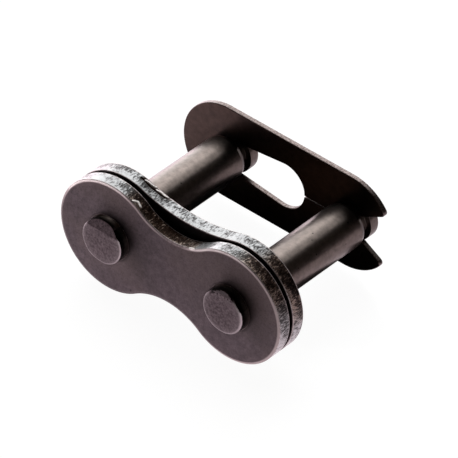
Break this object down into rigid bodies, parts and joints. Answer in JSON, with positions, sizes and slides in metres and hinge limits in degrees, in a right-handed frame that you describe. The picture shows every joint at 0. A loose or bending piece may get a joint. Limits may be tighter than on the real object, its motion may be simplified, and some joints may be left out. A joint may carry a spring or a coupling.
{
  "type": "chain connecting link",
  "caption": "Spring clip connecting link for a roller chain: a pin link plate with staked pins, a loose cover plate and a clip sprung into the pin grooves.",
  "frame": {"origin": "midway between the axes of the pins, at half of the pins' overall length", "axes": "+X along the chain towards the clip's fork, +Y along the pins from their heads to their caps, +Z across the plates"},
  "size_m": [0.0288, 0.022, 0.013],
  "materials": {
    "plate_steel": "blackened and oiled, with scuffed bright edges",
    "pin_steel": "ground, heat treated and oiled",
    "clip_steel": "blued spring steel"
  },
  "bodies": {
    "link": {"fixed_plate": "plate_steel", "left_pin": "pin_steel", "right_pin": "pin_steel"},
    "cover": {"cover_plate": "plate_steel"},
    "clip": {"spring_clip": "clip_steel"}
  },
  "joints": [
    {"name": "cover_slide", "type": "slide", "parent": "link", "child": "cover", "axis": [0, 1, 0], "range_m": [0, 0.0148]},
    {"name": "clip_slide", "type": "slide", "parent": "link", "child": "clip", "axis": [-1, 0, 0], "range_m": [0, 0.0073], "deforming": ["spring_clip"]}
  ]
}
